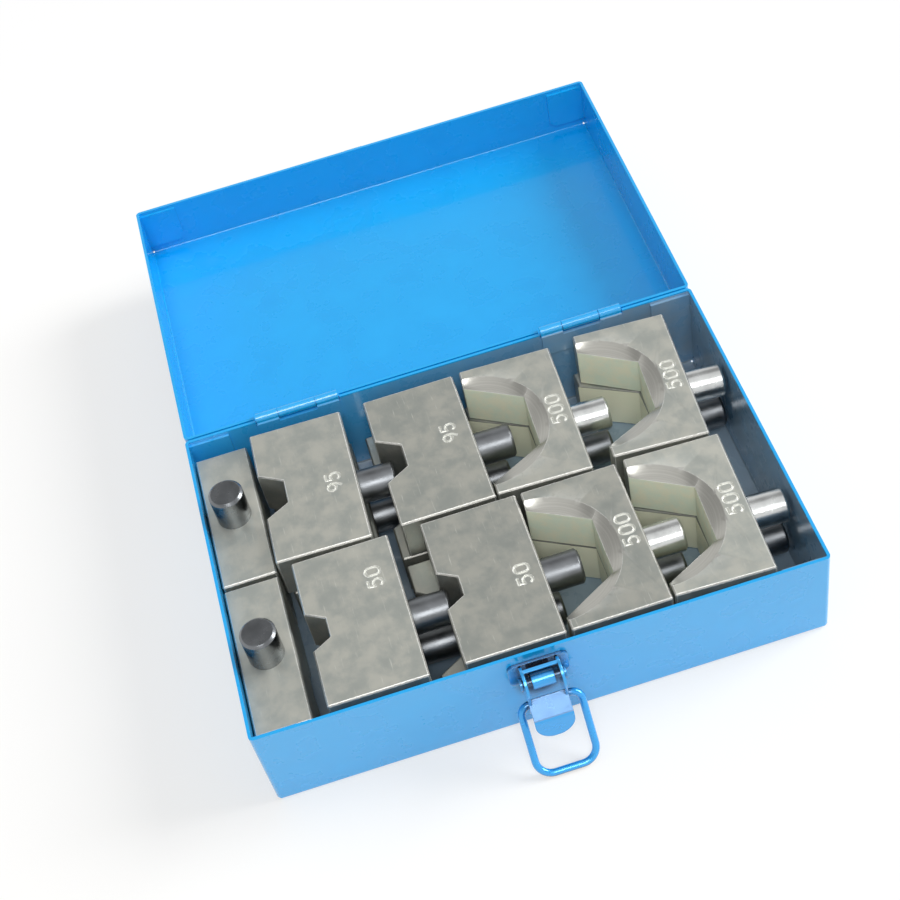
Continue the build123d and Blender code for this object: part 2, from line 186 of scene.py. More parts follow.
def blue_stoving_enamel():
    """Sprayed and baked enamel, greyer inside, with painted shade and greasy dirt behind the latch.
    """
    material, tree, out = new_material("blue_stoving_enamel")
    place = add(tree, "ShaderNodeTexCoord")
    peel = add(tree, "ShaderNodeTexNoise", Vector=(place, "Object"), Scale=1 / (ORANGE_PEEL_MM * MM),
               Detail=2.0)
    wave = add(tree, "ShaderNodeTexNoise", Vector=(place, "Object"), Scale=1 / (SHEET_WAVE_MM * MM),
               Detail=1.0)
    hands = add(tree, "ShaderNodeTexNoise", Vector=(place, "Object"), Scale=1 / (HANDLING_MM * MM),
                Detail=4.0)
    tint = add(tree, "ShaderNodeMix", {"data_type": "RGBA"}, Factor=(hands, "Fac"),
               A=linear(ENAMEL_DEEP), B=linear(ENAMEL_BLUE))
    split = add(tree, "ShaderNodeSeparateXYZ", Vector=(place, "Object"))
    # Inside, the blue is mixed with grey: in patches, more towards the right end, and on the floor
    towards_right = ramp(tree, (split, "X"), case_low.x, case_high.x)
    film = add(tree, "ShaderNodeMapRange", Value=(towards_right, 0), To_Min=GREY_AT_LEFT,
               To_Max=GREY_AT_RIGHT)
    rubbed = add(tree, "ShaderNodeMapRange", Value=(hands, "Fac"), From_Min=NOISE_LOW,
                 From_Max=NOISE_HIGH, To_Min=GREY_PATCH_LOW, To_Max=GREY_PATCH_HIGH)
    patchy_film = add(tree, "ShaderNodeMath", {"operation": "MULTIPLY"}, i0=(film, 0), i1=(rubbed, 0))
    floor = within(tree, (split, "Z"), case_low.z, case_low.z + FLOOR_BAND)
    floor_film = add(tree, "ShaderNodeMapRange", Value=(floor, 0), To_Max=DUST_FLOOR)
    thickest = add(tree, "ShaderNodeMath", {"operation": "MAXIMUM"}, i0=(patchy_film, 0),
                   i1=(floor_film, 0))
    greyed_mask = add(tree, "ShaderNodeMath", {"operation": "MULTIPLY"}, i0=(inside_case(tree, place), 0),
                i1=(thickest, 0))
    greyed = add(tree, "ShaderNodeMix", {"data_type": "RGBA"}, Factor=(greyed_mask, 0),
                 A=(tint, "Result"), B=linear(INSIDE_GREY))
    # The wall behind the latch gets painted shade, with some grease, and a duller gloss
    shade_and_grease = latch_shade_and_grease(tree, place)
    body = add(tree, "ShaderNodeMix", {"data_type": "RGBA"}, Factor=(shade_and_grease, 0),
               A=(greyed, "Result"), B=linear(WALL_SHADE_AND_GREASE))
    waves = add(tree, "ShaderNodeBump", Height=(wave, "Fac"), Strength=0.3, Distance=WAVE_DEPTH)
    bump = add(tree, "ShaderNodeBump", Height=(peel, "Fac"), Strength=0.05, Distance=PEEL_DEPTH,
               Normal=(waves, 0))
    gloss = add(tree, "ShaderNodeMapRange", Value=(hands, "Fac"), From_Min=NOISE_LOW,
                From_Max=NOISE_HIGH, To_Min=ENAMEL_POLISHED, To_Max=ENAMEL_HANDLED)
    matt = add(tree, "ShaderNodeMapRange", Value=(shade_and_grease, 0), To_Max=LATCH_PATCH_ROUGHNESS)
    dulled = add(tree, "ShaderNodeMath", {"operation": "MAXIMUM"}, i0=(gloss, 0), i1=(matt, 0))
    clear = add(tree, "ShaderNodeMapRange", Value=(shade_and_grease, 0), To_Min=1.0, To_Max=LATCH_PATCH_COAT)
    paint = add(tree, "ShaderNodeBsdfPrincipled", Base_Color=(body, "Result"),
                Roughness=(dulled, 0), IOR=1.5, Coat_Weight=(clear, 0), Coat_Roughness=0.09,
                Normal=(bump, 0), Coat_Normal=(bump, 0))
    tree.links.new(paint.outputs[0], out.inputs["Surface"])
    return material


enamel = blue_stoving_enamel()
print(enamel.name, "with", len(enamel.node_tree.nodes), "nodes")

# %% [markdown]
# The latch is thin bright plate under a coloured lacquer, so it mirrors more than the case does.
# Every closed-in place, between the lever's cheeks, behind the roll and round the pin, is painted
# dark: partly grease, partly painted shade. An Ambient Occlusion node tells how closed in a spot
# is. The more closed in, the darker. The sloping tongue of the lever is painted pale: a painted
# reflection of the light overhead. On the other latch parts the dark is laid on twice.

# %% Lacquered latch
LATCH_BLUE = "#2aa2ea"
# Closed-in places of the latch: partly grease, partly painted shade
LATCH_GREASE_AND_SHADE = "#12203a"
# Painted reflection on the sloping face of the lever's tongue
TONGUE_PAINTED_REFLECTION = "#6f9dcf"
TONGUE_HEIGHT = 14 * MM
TONGUE_SLOPE = (0.65, 0.92)
CREVICE_MM = 8
OPEN_SKY = 0.78
CLOSED_SKY = 0.28
SMEAR_MM = 4
LACQUER_WIPED = 0.16
LACQUER_SMEARED = 0.30
LATCH_EDGE_MM = 0.4


def levelness(tree, place):
    """How level a face is at rest: one for a level face, nought for an upright one."""
    split = add(tree, "ShaderNodeSeparateXYZ", Vector=(place, "Normal"))
    return add(tree, "ShaderNodeMath", {"operation": "ABSOLUTE"}, i0=(split, "Z"))


# Where the lever's tongue slopes, it gets a painted reflection of the light overhead.
def tongue_reflection_mask(tree, place):
    """One on the sloping upper face of the lever's tongue."""
    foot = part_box("latch_lever")[0].z
    split = add(tree, "ShaderNodeSeparateXYZ", Vector=(place, "Object"))
    tongue = within(tree, (split, "Z"), foot, foot + TONGUE_HEIGHT)
    slope = within(tree, (levelness(tree, place), 0), *TONGUE_SLOPE)
    return add(tree, "ShaderNodeMath", {"operation": "MULTIPLY"}, i0=(tongue, 0), i1=(slope, 0))


def lacquered_latch_steel(name, has_tongue):
    """Crevices get greasy dirt and painted shade, twice unless a tongue gets a painted reflection.
    """
    material, tree, out = new_material(name)
    place = add(tree, "ShaderNodeTexCoord")
    smears = add(tree, "ShaderNodeTexNoise", Vector=(place, "Object"), Scale=1 / (SMEAR_MM * MM),
                 Detail=3.0)
    # Closed-in places are painted dark: partly grease, partly painted shade
    sky = add(tree, "ShaderNodeAmbientOcclusion", {"samples": 8}, Distance=CREVICE_MM * MM)
    closed_in = ramp(tree, (sky, "AO"), OPEN_SKY, CLOSED_SKY)
    # The lever's tongue gets a pale painted reflection; the other parts get the crevice dark twice
    reflection_or_crevice_mask = tongue_reflection_mask(tree, place) if has_tongue else closed_in
    lacquer = add(tree, "ShaderNodeMix", {"data_type": "RGBA"}, Factor=(reflection_or_crevice_mask, 0),
                  A=linear(LATCH_BLUE), B=linear(TONGUE_PAINTED_REFLECTION if has_tongue else LATCH_GREASE_AND_SHADE))
    body = add(tree, "ShaderNodeMix", {"data_type": "RGBA"}, Factor=(closed_in, 0),
               A=(lacquer, "Result"), B=linear(LATCH_GREASE_AND_SHADE))
    gloss = add(tree, "ShaderNodeMapRange", Value=(smears, "Fac"), From_Min=NOISE_LOW,
                From_Max=NOISE_HIGH, To_Min=LACQUER_WIPED, To_Max=LACQUER_SMEARED)
    rounded = add(tree, "ShaderNodeBevel", {"samples": 4}, Radius=LATCH_EDGE_MM * MM)
    paint = add(tree, "ShaderNodeBsdfPrincipled", Base_Color=(body, "Result"), Metallic=0.5,
                Roughness=(gloss, 0), Coat_Weight=1.0, Coat_Roughness=0.08, Normal=(rounded, 0),
                Coat_Normal=(rounded, 0))
    tree.links.new(paint.outputs[0], out.inputs["Surface"])
    return material


latch_lacquer = lacquered_latch_steel("lacquered_latch_steel", False)
lever_lacquer = lacquered_latch_steel("lacquered_lever_steel", True)
print(latch_lacquer.name, "and", lever_lacquer.name)

# %% [markdown]
# A die looks different in its mouth, on its edges and on its flat faces. It could be cut up into
# several materials, but the mouth of the mesh has no border of its own, so masks tell them apart
# instead. The walls of the mouth are the upright faces near the mouth's middle. A Bevel node
# gives the normal that a rounded edge would have: where it differs from the true normal there is
# an edge, so one mask finds every edge of every die.

# %% Masks on a die
EDGE_MM = 0.45
SPARKLE_MM = 1.3
UPRIGHT = 0.3
NEARLY_LEVEL = 0.98
HEXAGON_ROOM = 0.2 * MM


def mouth_radius(tree, place, mouth):
    """Distance in plan from the middle of the mouth."""
    local = add(tree, "ShaderNodeVectorMath", {"operation": "SUBTRACT"}, i0=(place, "Object"),
                i1=mouth)
    flat = add(tree, "ShaderNodeVectorMath", {"operation": "MULTIPLY"}, i0=(local, 0), i1=(1, 1, 0))
    return add(tree, "ShaderNodeVectorMath", {"operation": "LENGTH"}, i0=(flat, 0))


def mouth_walls(tree, place, radius, hexagon_side):
    """One on the upright walls within the hexagon's corners round the mouth's middle."""
    inside = add(tree, "ShaderNodeMath", {"operation": "LESS_THAN"}, i0=(radius, "Value"),
                 i1=hexagon_side + HEXAGON_ROOM)
    wall = add(tree, "ShaderNodeMath", {"operation": "LESS_THAN"}, i0=(levelness(tree, place), 0),
               i1=UPRIGHT)
    return add(tree, "ShaderNodeMath", {"operation": "MULTIPLY"}, i0=(inside, 0), i1=(wall, 0))


def worn_and_highlit_edges(tree, place):
    """Normal of a slightly rounded edge, and a mask on its dashes of wear and painted highlight."""
    surface = add(tree, "ShaderNodeNewGeometry")
    rounded = add(tree, "ShaderNodeBevel", {"samples": 6}, Radius=EDGE_MM * MM)
    match = add(tree, "ShaderNodeVectorMath", {"operation": "DOT_PRODUCT"}, i0=(rounded, 0),
                i1=(surface, "True Normal"))
    edge = ramp(tree, (match, "Value"), 0.998, 0.93)
    dashes = add(tree, "ShaderNodeTexNoise", Vector=(place, "Object"), Scale=1 / (SPARKLE_MM * MM),
                 Detail=3.0)
    worn_and_lit = ramp(tree, (dashes, "Fac"), 0.22, 0.48)
    mask = add(tree, "ShaderNodeMath", {"operation": "MULTIPLY"}, i0=(edge, 0), i1=(worn_and_lit, 0))
    return rounded, mask


print("edges rubbed", EDGE_MM, "mm wide, in dashes of about", SPARKLE_MM, "mm")

# %% [markdown]
# The dies were milled from tool steel, hardened, and zinc plated. Years of handling have dulled
# the flat faces to a grey with faint clouds and short rub marks. Each broken edge is near white in
# dashes: partly rubbed bright, partly a painted highlight. The walls of the large mouths, which the
# lugs slide on, kept the pale yellow-green of the passivated zinc. Their bells, whose faces lie
# aslant, are turned smooth, so they mirror more, and they keep the rings that the lathe tool left
# round the mouth.
# The dies lie in two layers. A dark line round each mouth, where the layers meet, is painted
# shade in the seam. The mouth walls of the lower dies are painted paler, as painted light in place
# of the light that the upper dies keep out, and their edges are a darker grey. No two dies are
# quite the same grey, because some are used far more than others.

# %% Plated die steel
DIE_GREY = "#bfbfb6"
DIE_CLOUD = "#b0b4ae"
DIE_RUB = "#cfd0c8"
# Upper dies' edges: partly rubbed bright, partly a painted highlight; lower dies' edges are darker
EDGE_WORN_AND_LIT = "#fbfcf8"
LOWER_EDGE = "#7d827c"
BELL_GREY = "#bdbcb6"
BELL_RING = "#a1a099"
BELL_RING_MM = 0.5
# Zinc colours of the mouth walls; the lower dies' are paler as painted light for their shade
MOUTH_CREAM_AND_PAINTED_LIGHT = {"upper": "#f4f4da", "lower": "#fffee4"}
MOUTH_GREEN_AND_PAINTED_LIGHT = {"upper": "#e8f3de", "lower": "#fdfee4"}
# Painted shade in the seam where the two layers of dies meet
SEAM_PAINTED_SHADE = "#484c44"
CLOUD_MM = 7
RUB_MM = 0.7
RUB_TURN = 0.6  # radians
RUB_STRETCH = 0.10
GRIND_MM = 0.25
GRIND_DEPTH = 0.02 * MM
SEAM = 0.45 * MM
PLATE_METALLIC = 0.85
PLATE_SMOOTH = 0.40
PLATE_DULL = 0.54
BELL_ROUGHNESS = 0.28
EDGE_DULLNESS = 0.6
DIE_TONE = {"95_back_upper_2": 0.88, "50_front_upper_2": 0.84, "500_front_upper_3": 0.86,
            "500_front_upper_4": 1.10, "500_back_upper_4": 1.05, "70_back_upright": 1.10,
            "70_front_upright": 1.08}


def toned(hex_colour, tone):
    """A colour in linear light, made lighter or darker."""
    return [channel * tone for channel in linear(hex_colour)[:3]] + [1]


def plated_die_steel(die, layer, mouth, hexagon_side):
    """Finish of one die, given its layer, where its mouth is and how wide it opens."""
    material, tree, out = new_material("plated_steel_" + die)
    tone = DIE_TONE.get(die, 1.0)
    place = add(tree, "ShaderNodeTexCoord")
    cloud = add(tree, "ShaderNodeTexNoise", Vector=(place, "Object"), Scale=1 / (CLOUD_MM * MM),
                Detail=6.0, Roughness=0.65)
    stretch = add(tree, "ShaderNodeMapping", Vector=(place, "Object"), Rotation=(0, 0, RUB_TURN),
                  Scale=(1, RUB_STRETCH, 1))
    rub = add(tree, "ShaderNodeTexNoise", Vector=(stretch, 0), Scale=1 / (RUB_MM * MM), Detail=3.0)
    grind = add(tree, "ShaderNodeTexNoise", Vector=(place, "Object"), Scale=1 / (GRIND_MM * MM),
                Detail=2.0)
    patches = ramp(tree, (cloud, "Fac"), 0.35, 0.65)
    grey = add(tree, "ShaderNodeMix", {"data_type": "RGBA"}, Factor=(patches, 0),
               A=toned(DIE_CLOUD, tone), B=toned(DIE_GREY, tone))
    scratched = ramp(tree, (rub, "Fac"), 0.62, 0.82)
    rubbed = add(tree, "ShaderNodeMix", {"data_type": "RGBA"}, Factor=(scratched, 0),
                 A=(grey, "Result"), B=linear(DIE_RUB))
    radius = mouth_radius(tree, place, mouth)
    turned = add(tree, "ShaderNodeTexNoise", {"noise_dimensions": "1D"}, W=(radius, "Value"),
                 Scale=1 / (BELL_RING_MM * MM), Detail=2.0)
    bell = add(tree, "ShaderNodeMix", {"data_type": "RGBA"}, Factor=(turned, "Fac"),
               A=linear(BELL_RING), B=linear(BELL_GREY))
    aslant = within(tree, (levelness(tree, place), 0), UPRIGHT, NEARLY_LEVEL)
    belled = add(tree, "ShaderNodeMix", {"data_type": "RGBA"}, Factor=(aslant, 0),
                 A=(rubbed, "Result"), B=(bell, "Result"))
    # Edges of the upper dies get wear and a painted highlight, and those of the lower dies a darker
    # grey
    rounded, edge = worn_and_highlit_edges(tree, place)
    edged = add(tree, "ShaderNodeMix", {"data_type": "RGBA"}, Factor=(edge, 0),
                A=(belled, "Result"), B=linear(LOWER_EDGE if layer == "lower" else EDGE_WORN_AND_LIT))
    split = add(tree, "ShaderNodeSeparateXYZ", Vector=(place, "Object"))
    # A line of painted shade round the mouth where the layers meet
    seam = within(tree, (split, "Z"), mouth.z - SEAM, mouth.z + SEAM)
    # Mouth walls of the lower dies are painted paler: painted light in place of what is shaded out
    zinc_and_painted_light = add(tree, "ShaderNodeMix", {"data_type": "RGBA"}, Factor=(patches, 0),
               A=linear(MOUTH_GREEN_AND_PAINTED_LIGHT[layer]), B=linear(MOUTH_CREAM_AND_PAINTED_LIGHT[layer]))
    seam_shaded = add(tree, "ShaderNodeMix", {"data_type": "RGBA"}, Factor=(seam, 0),
                A=(zinc_and_painted_light, "Result"), B=linear(SEAM_PAINTED_SHADE))
    walls = mouth_walls(tree, place, radius, hexagon_side)
    colour = add(tree, "ShaderNodeMix", {"data_type": "RGBA"}, Factor=(walls, 0),
                 A=(edged, "Result"), B=(seam_shaded, "Result"))
    dull_edge = add(tree, "ShaderNodeMapRange", Value=(edge, 0), To_Max=EDGE_DULLNESS)
    dull_parts = add(tree, "ShaderNodeMath", {"operation": "MAXIMUM"}, i0=(walls, 0),
                     i1=(dull_edge, 0))
    metal = add(tree, "ShaderNodeMapRange", Value=(dull_parts, 0), To_Min=PLATE_METALLIC,
                To_Max=0.0)
    bump = add(tree, "ShaderNodeBump", Height=(grind, "Fac"), Strength=0.25, Distance=GRIND_DEPTH,
               Normal=(rounded, 0))
    shine = add(tree, "ShaderNodeMapRange", Value=(cloud, "Fac"), From_Min=NOISE_LOW,
                From_Max=NOISE_HIGH, To_Min=PLATE_SMOOTH, To_Max=PLATE_DULL)
    gloss = add(tree, "ShaderNodeMapRange", Value=(aslant, 0), To_Min=(shine, 0),
                To_Max=BELL_ROUGHNESS)
    steel = add(tree, "ShaderNodeBsdfPrincipled", Base_Color=(colour, "Result"),
                Metallic=(metal, 0), Roughness=(gloss, 0), Normal=(bump, 0))
    tree.links.new(steel.outputs[0], out.inputs["Surface"])
    return material


print("dies with a grey of their own:", ", ".join(sorted(DIE_TONE)))

# %% [markdown]
# The shanks were turned on a lathe. Those of the large upper dies are bright: the tool left fine
# rings round the shank, which pull a highlight out into a streak along it. The others went
# through black oxide, which keeps the rings and leaves a satin, slate-coloured skin. The rings
# run round the shank's axis, so the noise is stretched round it and squeezed along it.

# %% Turned shanks
TURNING_MM = 0.3
TURNING_DEPTH = 0.01 * MM
RING_STRETCH = 0.05
SMUDGE_MM = 5
SMUDGE_DARK = 0.82
SMUDGE_LIGHT = 1.08
BRIGHT_STEEL = "#d2d4d3"
BLACK_OXIDE = "#7b7e81"


def turned_steel(name, colour, roughness, along):
    """Turned steel with rings round the axis that along names: 0 for X, 2 for Z."""
    material, tree, out = new_material(name)
    place = add(tree, "ShaderNodeTexCoord")
    squeeze = [RING_STRETCH] * 3
    squeeze[along] = 1
    rings_at = add(tree, "ShaderNodeMapping", Vector=(place, "Object"), Scale=squeeze)
    rings = add(tree, "ShaderNodeTexNoise", Vector=(rings_at, 0), Scale=1 / (TURNING_MM * MM),
                Detail=2.0)
    smudge = add(tree, "ShaderNodeTexNoise", Vector=(place, "Object"), Scale=1 / (SMUDGE_MM * MM),
                 Detail=4.0)
    shade = add(tree, "ShaderNodeMapRange", Value=(smudge, "Fac"), From_Min=NOISE_LOW,
                From_Max=NOISE_HIGH, To_Min=SMUDGE_DARK, To_Max=SMUDGE_LIGHT)
    tint = add(tree, "ShaderNodeHueSaturation", Value=(shade, 0), Color=linear(colour))
    rounded = add(tree, "ShaderNodeBevel", {"samples": 6}, Radius=EDGE_MM * MM)
    bump = add(tree, "ShaderNodeBump", Height=(rings, "Fac"), Strength=0.12,
               Distance=TURNING_DEPTH, Normal=(rounded, 0))
    dull = add(tree, "ShaderNodeMapRange", Value=(smudge, "Fac"), From_Min=NOISE_LOW,
               From_Max=NOISE_HIGH, To_Min=roughness * 0.85, To_Max=roughness * 1.2)
    steel = add(tree, "ShaderNodeBsdfPrincipled", Base_Color=(tint, 0), Metallic=1.0,
                Roughness=(dull, 0), Normal=(bump, 0))
    tree.links.new(steel.outputs[0], out.inputs["Surface"])
    return material


bright_shank = turned_steel("bright_turned_steel", BRIGHT_STEEL, 0.24, 0)
black_shank = turned_steel("black_oxide_turned_steel", BLACK_OXIDE, 0.36, 0)
black_shank_upright = turned_steel("black_oxide_turned_steel_upright", BLACK_OXIDE, 0.25, 2)
print("shank finishes:", bright_shank.name, black_shank.name, black_shank_upright.name)

# %% [markdown]
# Each CAD node keeps its shape and gets its finish through its material slots. A die's mouth
# centre is the middle of its box's left side, because a small turn about the die's own middle
# leaves the box's middle where it is. Only the largest mouths are pale inside: the small ones
# are as grey as the rest of the die.

# %% Give every node its finish
DIE_DEPTH = 32 * MM
PALE_MOUTH_SIDE = 21.5 * MM
TURNED_DIES = {"95_back_upper_1": -1.4, "500_back_upper_3": -1.9, "500_back_upper_4": -3.7,
               "500_front_upper_4": -2.1}  # degrees


def finish_with(piece, material):
    """Puts one material on a piece in place of what it had."""
    piece.data.materials.clear()
    piece.data.materials.append(material)


def die_place(die):
    """Middle of a die, and its turn in radians."""
    low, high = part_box("die_" + die)
    return (low + high) / 2, math.radians(TURNED_DIES.get(die, 0))


dies = sorted(node[4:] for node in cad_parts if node.startswith("die_"))
for node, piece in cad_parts.items():
    if node.startswith("die_"):
        die = node[4:]
        middle, turn = die_place(die)
        mouth = middle - Quaternion((0, 0, 1), turn) @ Vector((DIE_DEPTH / 2, 0, 0))
        side = PALE_MOUTH_SIDE if die.startswith("500") else 0
        layer = "lower" if "_lower_" in die else "upper"
        low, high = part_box(node)
        mouth.z = high.z if layer == "lower" else low.z
        finish_with(piece, plated_die_steel(die, layer, mouth, side))
    elif node.startswith("shank_"):
        if node.endswith("upright"):
            finish_with(piece, black_shank_upright)
        else:
            bright = "_500_" in node and "_upper_" in node
            finish_with(piece, bright_shank if bright else black_shank)
    elif node == "latch_lever":
        finish_with(piece, lever_lacquer)
    else:
        finish_with(piece, latch_lacquer if node.startswith("latch_") else enamel)
print(len(dies), "dies,", len(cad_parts), "nodes finished")

# %% [markdown]
# The number on each die is the conductor's size, struck with steel number punches before
# plating. A punch leaves a groove, so the numbers are cut into the metal here too. An image or a
# bump would be less work, but neither gives the mesh a groove. Each figure is a few strokes,
# written as short runs of points and arcs in a square one unit wide and one high.

# %% Strokes of the number punches
FIGURE_HEIGHT = 4.7 * MM
FIGURE_WIDTH = 3.0 * MM
FIGURE_PITCH = 4.5 * MM
ARC_STEPS = 8


def arc(middle_x, middle_y, radius_x, radius_y, start, end):
    """Points of an elliptical arc, in degrees, in a figure one unit wide and one high."""
    angles = [math.radians(start + (end - start) * i / ARC_STEPS) for i in range(ARC_STEPS + 1)]
    return [(middle_x + radius_x * math.cos(a), middle_y + radius_y * math.sin(a)) for a in angles]


FIGURES = {
    "0": [arc(0.5, 0.70, 0.5, 0.30, 0, 180) + arc(0.5, 0.30, 0.5, 0.30, 180, 360) + [(1, 0.70)]],
    "5": [[(0.92, 1.0), (0.12, 1.0), (0.05, 0.56)] + arc(0.46, 0.33, 0.5, 0.33, 120, -150)],
    "9": [arc(0.5, 0.70, 0.5, 0.30, 0, 360), [(1.0, 0.70), (0.95, 0.35), (0.62, 0.0)]],
}


def number_length(number):
    """From the left edge of the first figure to the right edge of the last."""
    return FIGURE_PITCH * (len(number) - 1) + FIGURE_WIDTH


print("a 500 is", round(number_length("500") / MM, 1), "mm long")

# %% [markdown]
# A tube laid along the strokes is the body of the punch. A curve with a round bevel and closed
# ends makes it, and turns into a mesh. It is sunk so far into the die's upper face that only its
# lowest part bites, as deep as a hand-struck number is. Only dies of the upper layer show their
# numbers, and each was struck a little off the middle, by hand.

# %% Body of the punch
STROKE_RADIUS = 0.4 * MM
STROKE_SINK = 0.15 * MM
TUBE_FACETS = 2  # the curve's own setting for how round its bevel is

# Middle of each number: from the die's rear face, and across from its middle
STRUCK_AT = {
    "95_back_upper_1": (7.7 * MM, -1.9 * MM), "95_back_upper_2": (7.4 * MM, 3.5 * MM),
    "50_front_upper_1": (7.8 * MM, 12.9 * MM), "50_front_upper_2": (6.3 * MM, -3.0 * MM),
    "500_back_upper_3": (4.8 * MM, 0.0), "500_back_upper_4": (4.8 * MM, 0.0),
    "500_front_upper_3": (4.8 * MM, 1.4 * MM), "500_front_upper_4": (4.7 * MM, 1.4 * MM),
}


def in_scene(name, content):
    """A new object in the scene."""
    made = bpy.data.objects.new(name, content)
    bpy.context.scene.collection.objects.link(made)
    return made


def evaluated_mesh(source):
    """The mesh that an object has once its curve or its modifiers are worked out."""
    graph = bpy.context.evaluated_depsgraph_get()
    return bpy.data.meshes.new_from_object(source.evaluated_get(graph))


def number_cutter(number, die):
    """Tubes along the strokes of a number, where the punch struck the die's upper face."""
    middle, turn = die_place(die)
    from_rear, aside = STRUCK_AT[die]
    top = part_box("die_" + die)[1].z
    curve = bpy.data.curves.new("number_punch", "CURVE")
    curve.dimensions = "3D"
    curve.bevel_depth = STROKE_RADIUS
    curve.bevel_resolution = TUBE_FACETS
    curve.use_fill_caps = True
    start = aside - number_length(number) / 2
    foot = DIE_DEPTH / 2 - from_rear + FIGURE_HEIGHT / 2
    spin = Quaternion((0, 0, 1), turn)
    for index, figure in enumerate(number):
        for stroke in FIGURES[figure]:
            spline = curve.splines.new("POLY")
            spline.points.add(len(stroke) - 1)
            for point, (right, up) in zip(spline.points, stroke):
                along = start + index * FIGURE_PITCH + right * FIGURE_WIDTH
                spot = middle + spin @ Vector((foot - up * FIGURE_HEIGHT, along, 0))
                point.co = (spot.x, spot.y, top + STROKE_RADIUS - STROKE_SINK * 2, 1)
    cutter = in_scene("number_punch", curve)
    solid = in_scene("number_punch_solid", evaluated_mesh(cutter))
    bpy.data.objects.remove(cutter)
    return solid


print(len(STRUCK_AT), "dies to strike,", round(STROKE_SINK * 2 / MM, 2), "mm deep")

# %% [markdown]
# Struck metal isn't the grey of the face around it: the punch pressed it smooth, and it catches
# the light. So the faces inside the figures get a brighter finish of their own.

# %% Burnished steel
BURNISHED = "#e2e3db"


def burnished_steel():
    """Metal that a punch has just pressed smooth."""
    material, tree, out = new_material("burnished_punch_mark")
    place = add(tree, "ShaderNodeTexCoord")
    grain = add(tree, "ShaderNodeTexNoise", Vector=(place, "Object"), Scale=1 / (GRIND_MM * MM),
                Detail=2.0)
    tint = add(tree, "ShaderNodeMix", {"data_type": "RGBA"}, Factor=(grain, "Fac"),
               A=linear(DIE_RUB), B=linear(BURNISHED))
    bump = add(tree, "ShaderNodeBump", Height=(grain, "Fac"), Strength=0.3, Distance=GRIND_DEPTH)
    steel = add(tree, "ShaderNodeBsdfPrincipled", Base_Color=(tint, "Result"), Metallic=0.6,
                Roughness=0.4, Normal=(bump, 0))
    tree.links.new(steel.outputs[0], out.inputs["Surface"])
    return material


punch_mark = burnished_steel()
print(punch_mark.name, "from", DIE_RUB, "to", BURNISHED)

# %% [markdown]
# A Boolean takes the punch out of a copy of each die. The frame's meshes have split corners, which
# a Boolean reads as open edges, so the copy's corners are joined first. The Boolean also spoils
# the normals that came with the mesh. They are made again: faces that meet at a small angle are
# parts of one round, and all others stay sharp. The struck copy rides on the die's own body and
# stands in for the plain die.

# %% Strike the numbers
ROUND_DEGREES = 25
JOIN_WITHIN = 0.001 * MM
UNDER_TOP = 0.01 * MM


def burnish_figures(copy, die, number):
    """Gives the punch mark's finish to the faces inside the figures."""
    middle, turn = die_place(die)
    from_rear, aside = STRUCK_AT[die]
    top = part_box("die_" + die)[1].z
    back = Quaternion((0, 0, 1), -turn)
    half_height = FIGURE_HEIGHT / 2 + STROKE_RADIUS
    half_length = number_length(number) / 2 + STROKE_RADIUS
    copy.data.materials.append(punch_mark)
    marked = 0
    for face in copy.data.polygons:
        spot = back @ (face.center - middle)
        in_height = abs(DIE_DEPTH / 2 - spot.x - from_rear) < half_height
        in_length = abs(spot.y - aside) < half_length
        in_groove = top - STROKE_RADIUS < face.center.z < top - UNDER_TOP
        if in_height and in_length and in_groove:
            face.material_index = 1
            marked += 1
    return marked


def stamped_copy(die, number):
    """A copy of a die with its number struck in the upper face."""
    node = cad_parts["die_" + die]
    copy = in_scene("stamped_die_" + die, node.data.copy())
    shape = bmesh.new()
    shape.from_mesh(copy.data)
    bmesh.ops.remove_doubles(shape, verts=shape.verts, dist=JOIN_WITHIN)
    shape.to_mesh(copy.data)
    shape.free()
    cutter = number_cutter(number, die)
    cut = copy.modifiers.new("strike", "BOOLEAN")
    cut.operation = "DIFFERENCE"
    cut.solver = "EXACT"
    cut.use_self = True
    cut.object = cutter
    struck = evaluated_mesh(copy)
    copy.modifiers.clear()
    copy.data = struck
    spoilt = struck.attributes.get("custom_normal")
    if spoilt:
        struck.attributes.remove(spoilt)
    struck.shade_smooth()
    struck.set_sharp_from_angle(angle=math.radians(ROUND_DEGREES))
    bpy.data.objects.remove(cutter)
    finish_with(copy, node.data.materials[0])
    marked = burnish_figures(copy, die, number)
    print(die, "stamped", number, len(copy.data.polygons), "faces,", marked, "burnished")
    return copy


for die in dies:
    if "_upper_" in die:
        number = die.split("_")[0]
        stamped = stamped_copy(die, number)
        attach(stamped, "die_set_" + die)
        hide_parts("die_" + die)

# %% [markdown]
# The case stands on a white table. The table's own shading near the case keeps the soft shadow,
# and further out it turns into the white of the background, so that no edge or horizon shows.

# %% Table
TABLE_SIZE = 6.0
SHADOW_REACH = 0.20
WHITE_REACH = 0.45
TABLE_WHITE = "#f6f5f2"
TABLE_GLOW = 0.5


def seen_or_mirrored(tree):
    """One for rays from the camera, off a glossy surface or through glass."""
    paths = add(tree, "ShaderNodeLightPath")
    seen = add(tree, "ShaderNodeMath", {"operation": "MAXIMUM"}, i0=(paths, "Is Camera Ray"),
               i1=(paths, "Is Glossy Ray"))
    return add(tree, "ShaderNodeMath", {"operation": "MAXIMUM"}, i0=(seen, 0),
               i1=(paths, "Is Transmission Ray"))


